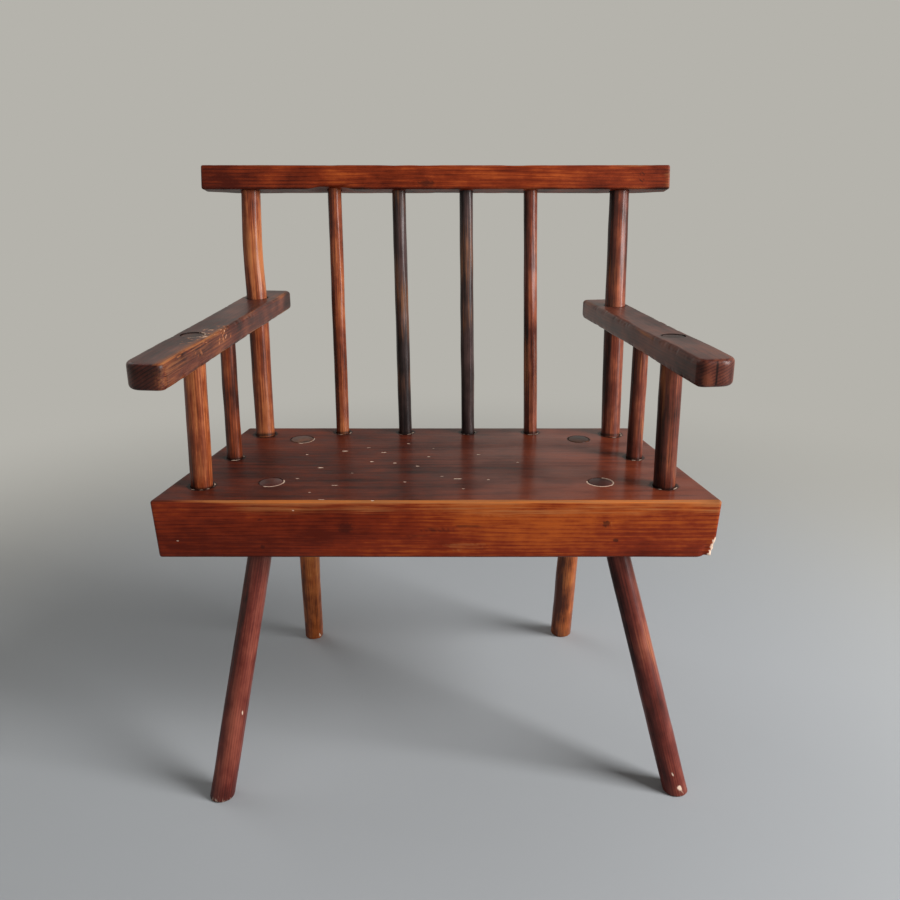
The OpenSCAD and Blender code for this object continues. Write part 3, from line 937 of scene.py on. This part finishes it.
class ARMCHAIR_OT_seat(bpy.types.Operator):
    """Make the plank seat, with its holes, chips and worn edges"""

    bl_idname = "armchair.seat"
    bl_label = "Seat"

    def execute(self, context):
        s = context.scene.armchair_seat
        top, sides = tones_of(s, "top"), tones_of(s, "sides")
        finish = wood("seat_wood", top, s.gloss, s.haze, 0.65, side_tones=sides, rubbed=s.rubbed)
        SeatMaker().make("plank_seat", "seat_wood", finish)
        return {"FINISHED"}


# ---- the sticks


def shaved_stick(node, start, end, bow=None):
    """A stick of the frame with the knife's shallow flats, from start to end along its axis.

    bow tells how far its middle line moves aside at a distance.
    """
    settings, stick, seed = bpy.context.scene.armchair_sticks, sticks[node], seed_of(node)
    bm = round_bar(end - start, settings.sides, settings.ring)
    for v in bm.verts:
        along = v.co.z + start
        out = v.co.xy.normalized()
        flat = Vector((out.x * 1.1, out.y * 1.1, along * 4.5))
        depth = 0.1 + abs(lumps(flat, 1.6, seed)) * 1.3
        depth += 0.3 * (1 + lumps((out.x, out.y, along * 28), 1.0, seed + 5))
        reach = stick.radius(along) - settings.shave * depth
        shift = bow(along) if bow else Vector((0, 0, 0))
        across = stick.turn @ Vector((out.x * reach, out.y * reach, 0))
        v.co = stick.low + stick.axis * along + across + shift
    return bm


def stick_wear(node, chips=(), foot=False, ends=()):
    """Tells how worn a point of a stick is, and paints shade on its left side. Its own x is the
    distance from its low end.

    chips are a distance, the way they look, and a length and a width in mm. ends are the
    distances at which dirt has gathered round it.
    """
    stick, seed = sticks[node], seed_of(node)

    def describe(own, normal):
        slow = lumps(own, 16, seed)
        ragged = lumps(own, RAGGED, seed)
        told = {"wear": max(0.0, 0.2 + 0.6 * slow), "grime": max(0.0, -0.3 * slow), "chip": 0.0}
        told["tone"] = 0.18 * lumps((own.x * 0.5, own.y, own.z), 30, seed + 2)
        told["tone"] += PALER.get(node, 0.0)
        # Each stick's left side, away from the key light, is painted darker and its varnish made
        # duller there: painted shade.
        sideways = (normal.y * (stick.turn @ X) + normal.z * (stick.turn @ Y)).x
        painted_shade = smooth(sideways, -0.25, -0.85)
        told["tone"] -= 0.26 * painted_shade
        told["dull"] = 0.6 * painted_shade
        for at in ends:
            deepen(told, "grime", 0.8 * within(abs(own.x - at), 4, 1))
        if foot:
            dusty = within(own.x + 4 * MM * slow, 9, 1)
            deepen(told, "grime", 0.35 * within(own.x, 60, 5))
            told["chip"] = 0.6 * dusty * max(0.0, 0.4 + ragged)
        for at, way, long, wide in chips:
            out = (own - Vector((at, 0, 0))).dot(way)
            if abs(own.x - at) < long * MM and out > 0:
                aside = (own - Vector((own.x, 0, 0)) - way * out).length
                found = oval_mark(own.x - at, aside, long * MM, wide * MM, ragged)
                deepen(told, "chip", found)
        return told

    back = Matrix((stick.axis, stick.turn @ X, stick.turn @ Y)).to_4x4()
    return back @ Matrix.Translation(-stick.low), describe


def stick_wood(name, part, streaks):
    s = bpy.context.scene.armchair_sticks
    tones = tones_of(s, part)
    return wood(name, tones, s.gloss, s.haze, streaks, pith=STICK_PITH, rings=330)


def end_grain(node, describe, dark):
    """Adds the dark, dry end of a stick, which shows in the face of a board, to its wear."""

    def with_end(own, normal):
        told = describe(own, normal)
        if own.x > sticks[node].length - 12 * MM and abs(normal.x) > 0.6:
            told["grime"] = dark * (1 + 0.4 * lumps(own, 70, seed_of(node)))
            told["wear"] = 0.0
        return told

    return with_end


class ARMCHAIR_OT_legs(bpy.types.Operator):
    """Make the four splayed legs, with their tenons through the seat"""

    bl_idname = "armchair.legs"
    bl_label = "Legs"

    def execute(self, context):
        s = context.scene.armchair_sticks
        dark, golden = stick_wood("leg_wood", "leg", 0.5), stick_wood("back_leg_wood", "back", 0.6)
        chips = {
            "leg_front_left": ((0.12, (X - Y).normalized(), 6, 3),),
            "leg_front_right": ((0.03, -Y, 5, 3), (0.008, (X * 0.4 - Y).normalized(), 8, 7)),
            "leg_back_left": ((0.012, (X - Y).normalized(), 6, 5),),
            "leg_back_right": (),
        }
        for node in LEGS:
            stick = sticks[node]
            bm = shaved_stick(node, -LEG_SPARE, stick.length + LEG_SPARE)
            cut_off(bm, Vector((0, 0, 0)), -Z, s.foot)
            cut_off(bm, Vector((0, 0, seat_top - TENON_SUNK)), Z, SAWN_RIM)
            own_chips = [(at, self.own_way(stick, way), *size) for at, way, *size in chips[node]]
            back, describe = stick_wear(node, own_chips, foot=True)
            describe = end_grain(node, describe, LEG_RIMS[node][2])
            finish = dark if "front" in node else golden
            finish_piece(new_piece(f"round_{node}", bm), node, "leg_wood", finish, back, describe)
        return {"FINISHED"}

    def own_way(self, stick, way):
        """A way as the stick's own, square to its axis."""
        local = stick.turn.transposed() @ way
        return Vector((0, local.x, local.y)).normalized()


class ARMCHAIR_OT_uprights(bpy.types.Operator):
    """Make the posts and sticks under the arms, the back posts and the spindles"""

    bl_idname = "armchair.uprights"
    bl_label = "Posts and spindles"

    def execute(self, context):
        golden, red = stick_wood("post_wood", "post", 0.8), stick_wood("red_post_wood", "red", 0.65)
        black = stick_wood("dark_spindle_wood", "dark", 0.35)
        most = context.scene.armchair_sticks.bow
        for node in UPRIGHTS:
            stick = sticks[node]
            bow = self.bowed(stick, most) if node == "back_post_left" else None
            end = stick.length + (POST_SPARE if node in FRONT_POSTS else 0)
            bm = shaved_stick(node, 0, end, bow)
            if node in FRONT_POSTS:
                arm = Face(node.replace("_post", ""), Z)
                top = arm.meet(stick.high, stick.axis) - arm.normal * POST_SUNK
                cut_off(bm, top, arm.normal, SAWN_RIM)
            back, describe = stick_wear(node, ends=(stick.to_height(seat_top),))
            describe = end_grain(node, describe, 0.66)
            slot, finish = "post_wood", red if node in RED_STICKS else golden
            if node in DARK_SPINDLES:
                slot, finish = "dark_spindle_wood", black
            finish_piece(new_piece(f"round_{node}", bm), node, slot, finish, back, describe)
        return {"FINISHED"}

    def bowed(self, stick, most):
        """A slow bend to the left, between the seat and the rail, and most just above the arm."""

        def bow(along):
            share = min(1.0, max(0.0, (along - 0.24) / (stick.length - 0.26)))
            return -X * (most * math.sin(math.pi * share) ** 1.5)

        return bow


# ---- the arms


class ArmMaker(BoardMaker):
    """A board arm: its shape, where it is worn, chipped and dirty, and where a highlight is painted
    on it.
    """

    def __init__(self, side):
        self.side, self.inner = side, 1 if side == "left" else -1
        node = f"arm_{side}"
        self.faces, top = (Face(node, -X), Face(node, X)), Face(node, Z)
        along = top.normal.cross(self.faces[0].normal - self.faces[1].normal)
        along = along if along.y > 0 else -along
        super().__init__(node, "armchair_arms", along.normalized())
        self.posts = [f"arm_post_{side}", f"arm_stick_{side}", f"back_post_{side}"]
        self.through = (self.posts[0], self.posts[2])
        self.tops = {n: top.meet(sticks[n].low, sticks[n].axis) for n in self.posts}

    def shape(self):
        s, half = self.settings, self.half
        front_low, front_high, back_low, back_high = [
            self.board.between(Vector((x, y, 0)), self.faces[1], self.faces[0], 1).xy
            for x in (-half.x, half.x)
            for y in (-half.y, half.y)
        ]
        low_is_outer = self.inward(Vector((0, -1, 0))) < 0
        low, high = (s.corner, s.inner_corner) if low_is_outer else (s.inner_corner, s.corner)
        corners = [(front_low, low), (back_low, s.inner_corner)]
        corners += [(back_high, s.inner_corner), (front_high, high)]
        bm = outline_board(corners, self.board.size.z, s.edge, s.grid)
        finer(bm, [(self.board.back @ self.tops[n], 19 * MM) for n in self.through], cuts=1)
        for v in bm.verts:
            own = v.co.copy()
            share = max(0.0, 1 - (half.x - abs(own.x)) / s.nose)
            thinner = 1 - math.sqrt(max(0.0, 1 - share * share))
            swell = s.swell * smooth(own.x, 0, -half.x * 0.8)
            v.co.z *= 1 + swell - 0.1 * thinner
            v.co -= v.normal * ((0.4 + 0.6 * self.drift(own, 11, 34)) * 0.5 * MM)
            v.co -= v.normal * (self.arris(own) * self.nibbled(own, 60, 170, 0.5) * 1.3 * MM)
            if self.side == "right":
                nick = within(abs(own.x + half.x * 0.2), 9, 1)
                inner = smooth(own.y * self.inner, half.y - 9 * MM, half.y)
                v.co.y -= self.inner * nick * inner * 1.6 * MM
        bmesh.ops.transform(bm, matrix=self.board.place, verts=bm.verts)
        return bm

    def arris(self, own):
        """How near a point is to the arm's top or bottom arrises."""
        edge, wide = self.half.z - abs(own.z), self.half.y * 0.93 - abs(own.y)
        return within(edge, 8, 2) * within(wide, 8, 2)

    def reach(self, node):
        """How far along a stick from its low end the arm's top is."""
        return (self.tops[node] - sticks[node].low).length

    def holes(self):
        for node in self.posts:
            stick, at = sticks[node], self.reach(node)
            end = at + ABOVE_ARM if node in self.through else stick.length + DEEPER
            yield stick, stick.radius(at - 10 * MM) + PLAY, at - BELOW_ARM, end

    def describe(self, own, normal):
        """How worn, chipped and dirty a point of the arm is, with a painted highlight on the rim
        round its front post.
        """
        half, slow, ragged = self.half, self.lumps(own, 15), self.lumps(own, RAGGED)
        world, inner = self.board.place @ own, self.inward(own)
        side, chip = smooth(abs(normal.z), 0.8, 0.45), 0.0
        wear = self.arris(own) * (0.35 + 0.7 * slow)
        end = smooth(own.x, 16 * MM - half.x, -half.x)
        sooty = 0.35 if self.side == "left" else 0.05
        grime = 0.2 * max(0.0, -slow) + end * sooty * (1 + self.lumps(own, 55, 6))
        tone = 0.15 * slow + 0.2 * self.lumps(own, 45, 4)
        if self.side == "left":
            front = smooth(own.x, half.x * 0.4, -half.x * 0.7)
            band = smooth(inner, 0, half.y * 0.9)
            band *= (0.38 + 0.5 * front) * (0.8 + 0.5 * slow) * (1 - 0.5 * side)
            wear = max(wear, band)
            if own.z > 0 and inner > 2 * MM:
                scratched = self.scratched(own, world)
                wear, chip = max(wear, 1.4 * scratched), 0.6 * scratched
        else:
            nose = smooth(own.x, 4 * MM - half.x, -half.x)
            low = smooth(own.z, 0.4 * half.z, -0.6 * half.z)
            tone += nose * (0.3 + 0.75 * low * smooth(lumps(own, 40, 1.0), -0.4, 0.2))
            split = abs(own.y - 3 * MM + 1.5 * MM * lumps(own, 60, 2.0))
            grime = max(grime, nose * within(split, 1.2, 0.4))
        for node in self.through:
            far, out = sticks[node].distance(world)
            gap = far - sticks[node].radius(self.reach(node)) - PLAY
            if gap > 8 * MM:
                continue
            if node == self.posts[0]:
                # A pale arc on the side of the post's rim toward the light is painted highlight,
                # drawn in the chip colour, weaker on the right arm; round the rest of the rim the
                # joint is dark.
                pale = smooth(out.normalized().dot(Vector((0.9, -0.3, 0))), -0.1, 0.3)
                pale = pale if self.side == "left" else 0.3 * pale
                on_rim = rim_mark(gap, ragged, 0.4, 1.2, 0.4)
                chip = max(chip, 0.7 * on_rim * pale)
                grime = max(grime, 0.9 * within(gap, 2.5, 0.3) * (1 - pale))
            else:
                grime = max(grime, within(gap + 0.8 * MM * ragged, 4, 0.5))
        return {"side": side, "wear": wear, "grime": grime, "chip": chip, "tone": tone}

    def scratched(self, own, world):
        """The broken golden scratches round the front post's end, from 0 to 1."""
        scratch = self.lumps((own.x * 0.3, own.y, own.z), 330, 9)
        near_post = within((world - self.tops[self.posts[0]]).length, 88, 40)
        broken = smooth(self.lumps(own, 75), -0.1, 0.1)
        return smooth(abs(scratch), 0.11, 0.04) * near_post * broken

    def inward(self, own):
        """How far a point is from the arm's middle line, towards the sitter."""
        across = self.board.place.to_3x3().col[1]
        return own.y if across.x * self.inner > 0 else -own.y


class ARMCHAIR_OT_arms(bpy.types.Operator):
    """Make the two board arms, worn along their inner edges"""

    bl_idname = "armchair.arms"
    bl_label = "Arms"

    def execute(self, context):
        s = context.scene.armchair_arms
        tones = tones_of(s, "arm")
        finish = wood("arm_wood", tones, s.gloss, s.haze, rubbed=s.rubbed, rings=300)
        for side in ("left", "right"):
            ArmMaker(side).make(f"board_arm_{side}", "arm_wood", finish)
        return {"FINISHED"}


# ---- the crest rail


class RailMaker(BoardMaker):
    """The crest rail: its shape, and where it is worn, chipped and dirty."""

    def shape(self):
        s, half = self.settings, self.half
        bm = grid_box(self.board.size, s.edge, s.grid)
        for v in bm.verts:
            own = v.co.copy()
            share = smooth(half.x - abs(own.x), s.taper_run, 0)
            straight = max(0.0, 1 - (half.x - abs(own.x)) / s.taper_run)
            cut = s.taper * (0.5 * share + 0.5 * straight)
            v.co.y = -half.y + (own.y + half.y) * (1 - cut / (2 * half.y))
            v.co -= v.normal * ((0.6 + 0.6 * self.drift(own, 10, 33)) * 0.5 * MM)
            arris = self.board.arris(own, 6 * MM)
            inward = Vector((0, -own.y / half.y, -own.z / half.z))
            v.co += inward * (arris * self.nibbled(own, 34, 110, 0.4) * 0.8 * MM)
            hollow = self.scoop(own)
            v.co.z += s.scoop * hollow
            v.co.y += 0.5 * s.scoop * hollow
        bmesh.ops.transform(bm, matrix=self.board.place, verts=bm.verts)
        return bm

    def along(self, own):
        """A point's share of the way along the rail, from its left end."""
        return own.x / self.board.size.x + 0.5

    def scoop(self, own):
        """How deep the knife's hollow over the first spindle is, from 0 to 1."""
        low = smooth(own.z, 0, -self.half.z)
        front = smooth(own.y, self.half.y * 0.5, -self.half.y)
        return smooth(abs(self.along(own) - 0.275), 0.055, 0.02) * low * front

    def holes(self):
        for node in BACK_POSTS + SPINDLES:
            stick = sticks[node]
            at = stick.length
            yield stick, stick.radius(at - 8 * MM) + PLAY, at - BELOW_RAIL, at + DEEPER

    def describe(self, own, normal):
        """How worn and dirty a point of the rail is."""
        half, long, along = self.half, self.board.size.x, self.along(own)
        slow, ragged = self.lumps(own, 14), self.lumps(own, RAGGED)
        wear = self.board.arris(own, 6 * MM) * (0.35 + 0.6 * slow)
        wear = max(wear, 0.55 * smooth(along, 0.97, 1.0))
        grime = 0.15 * max(0.0, -slow) + 0.3 * self.scoop(own)
        if normal.y < -0.4:
            from_knot = (along - 0.48) * long, own.z + half.z * 0.5
            knot = oval_mark(*from_knot, 24 * MM, 9 * MM, ragged)
            dent = abs(math.hypot((along - 0.94) * long, own.z * 0.7) - 4 * MM)
            grime = max(grime, 0.6 * knot, 0.7 * within(dent, 1.6, 0.4))
        low_edge = smooth(own.z, 6 * MM - half.z, 1 * MM - half.z)
        grime = max(grime, low_edge * (0.45 + 0.5 * self.lumps(own, 45)))
        ends = 0.25 * smooth(along, 0.4, 0.0) + 0.14 * smooth(along, 0.7, 0.9)
        tone = 0.15 * slow - ends + 0.06 * smooth(abs(along - 0.6), 0.3, 0.0)
        return {"wear": wear, "grime": grime, "tone": tone}


class ARMCHAIR_OT_rail(bpy.types.Operator):
    """Make the crest rail, with its tapered ends and its scooped edge"""

    bl_idname = "armchair.rail"
    bl_label = "Crest rail"

    def execute(self, context):
        s = context.scene.armchair_rail
        finish = wood("rail_wood", tones_of(s, "rail"), s.gloss, s.haze, streaks=0.65)
        RailMaker("crest_rail", "armchair_rail").make("tapered_crest_rail", "rail_wood", finish)
        return {"FINISHED"}


# ---- the stage


# Each light's place, and its width and height.
LIGHTS = {
    "key_light": ((2.5, -1.1, 1.7), (1.3, 2.2)),
    "fill_light": ((-1.6, -1.9, 1.4), (2.0, 1.6)),
    "back_light": ((-2.2, 1.5, 2.7), (2.0, 2.0)),
}
BEND_STEPS, ROUND_STEPS = 12, 96
# Distances over which the floor turns into the backdrop, and that into its even far colour.
FLOOR_TO_WALL, WALL_TO_FAR = (0.45, 1.5), (0.8, 1.9)


def area_light(name, place, target, wide, tall, power):
    light = bpy.data.lights.new(name, "AREA")
    light.shape, light.size, light.size_y, light.energy = "RECTANGLE", wide, tall, power
    lamp = new_object(name, light)
    lamp.location = place
    lamp.rotation_euler = (target - Vector(place)).to_track_quat("-Z", "Y").to_euler()


class ARMCHAIR_OT_stage(bpy.types.Operator):
    """Set up the floor, the round backdrop, the lights and the camera"""

    bl_idname = "armchair.stage"
    bl_label = "Stage"

    def execute(self, context):
        s, scene = context.scene.armchair_stage, context.scene
        bm = bmesh.new()
        bend, tall = s.radius * 0.4, s.radius * 0.9
        profile = [(0.0, 0.0), (s.radius - bend, 0.0)]
        for i in range(1, BEND_STEPS + 1):
            turn = math.pi / 2 * i / BEND_STEPS
            out, up = bend * math.sin(turn), bend * (1 - math.cos(turn))
            profile.append((s.radius - bend + out, up))
        profile.append((s.radius, tall))
        verts = [bm.verts.new((x, 0, z)) for x, z in profile]
        edges = [bm.edges.new(pair) for pair in zip(verts, verts[1:])]
        turned = {"cent": (0, 0, 0), "axis": (0, 0, 1), "angle": math.tau, "use_merge": True}
        bmesh.ops.spin(bm, geom=verts + edges, steps=ROUND_STEPS, **turned)
        bmesh.ops.remove_doubles(bm, verts=bm.verts, dist=1e-5)
        bmesh.ops.recalc_face_normals(bm, faces=bm.faces)
        if sum(f.normal.z * f.calc_area() for f in bm.faces) < 0:
            bmesh.ops.reverse_faces(bm, faces=bm.faces)
        floor = new_piece("floor_and_backdrop", bm)
        floor.data.polygons.foreach_set("use_smooth", [True] * len(floor.data.polygons))
        f = Finish("pale_floor")
        place = f.add("ShaderNodeTexCoord", output="Object")
        far = f.vector("LENGTH", f.vector("MULTIPLY", place, (1, 1, 0)), output="Value")
        shade = f.mix(f.step(far, *FLOOR_TO_WALL), tuple(s.floor), tuple(s.wall))
        matt = {"Base Color": shade, "Roughness": 0.9, "Specular IOR Level": 0.1}
        cloth = f.add("ShaderNodeBsdfPrincipled", None, matt)
        glow = f.add("ShaderNodeEmission", None, {"Color": (*s.far, 1.0)})
        seen = f.add("ShaderNodeLightPath", output="Is Camera Ray") + f.add(
            "ShaderNodeLightPath", output="Is Glossy Ray"
        )
        even = f.step(far, *WALL_TO_FAR) * seen
        lit = f.add("ShaderNodeMixShader", None, {0: even, 1: cloth, 2: glow})
        floor.data.materials.append(f.closed(lit))

        middle_of_it = (cad_box[0] + cad_box[1]) / 2
        for name, (place, extent) in LIGHTS.items():
            area_light(name, place, middle_of_it, *extent, getattr(s, name))
        world = bpy.data.worlds.new("air")
        world.use_nodes = True
        scene.world = world
        tree = world.node_tree
        air, rays = tree.nodes["Background"], tree.nodes.new("ShaderNodeLightPath")
        air.inputs["Color"].default_value = (1, 1, 1, 1)
        strength = tree.nodes.new("ShaderNodeMapRange")
        strength.inputs["To Min"].default_value = s.air
        strength.inputs["To Max"].default_value = s.sky
        tree.links.new(rays.outputs["Is Camera Ray"], strength.inputs["Value"])
        tree.links.new(strength.outputs[0], air.inputs["Strength"])

        lens = bpy.data.cameras.new("camera")
        lens.lens, lens.sensor_width = 36, 36
        camera = new_object("camera", lens)
        camera.location = s.camera
        camera.rotation_euler = (math.pi / 2 - s.pitch, 0, 0)
        scene.camera = camera
        scene.view_settings.view_transform = "Standard"
        return {"FINISHED"}


# ---- the add-on


class ARMCHAIR_PT_panel(bpy.types.Panel):
    """The armchair's pieces and settings"""

    bl_idname = "ARMCHAIR_PT_panel"
    bl_label = "Armchair"
    bl_space_type = "VIEW_3D"
    bl_region_type = "UI"
    bl_category = "Armchair"

    def draw(self, context):
        for operator in OPERATORS:
            self.layout.operator(operator.bl_idname)
        for name, group in SETTINGS.items():
            box = self.layout.box()
            box.label(text=name.replace("_", " ").capitalize())
            for prop in group.__annotations__:
                box.prop(getattr(context.scene, name), prop)


OPERATORS = (
    ARMCHAIR_OT_seat,
    ARMCHAIR_OT_legs,
    ARMCHAIR_OT_uprights,
    ARMCHAIR_OT_arms,
    ARMCHAIR_OT_rail,
    ARMCHAIR_OT_stage,
)


def register():
    for group in SETTINGS.values():
        bpy.utils.register_class(group)
    for name, group in SETTINGS.items():
        setattr(bpy.types.Scene, name, PointerProperty(type=group))
    for kind in (*OPERATORS, ARMCHAIR_PT_panel):
        bpy.utils.register_class(kind)


def unregister():
    for kind in (ARMCHAIR_PT_panel, *reversed(OPERATORS)):
        bpy.utils.unregister_class(kind)
    for name, group in SETTINGS.items():
        delattr(bpy.types.Scene, name)
        bpy.utils.unregister_class(group)


def main():
    register()
    bpy.ops.armchair.seat()
    bpy.ops.armchair.legs()
    bpy.ops.armchair.uprights()
    bpy.ops.armchair.arms()
    bpy.ops.armchair.rail()
    bpy.ops.armchair.stage()


if __name__ == "__main__":
    main()
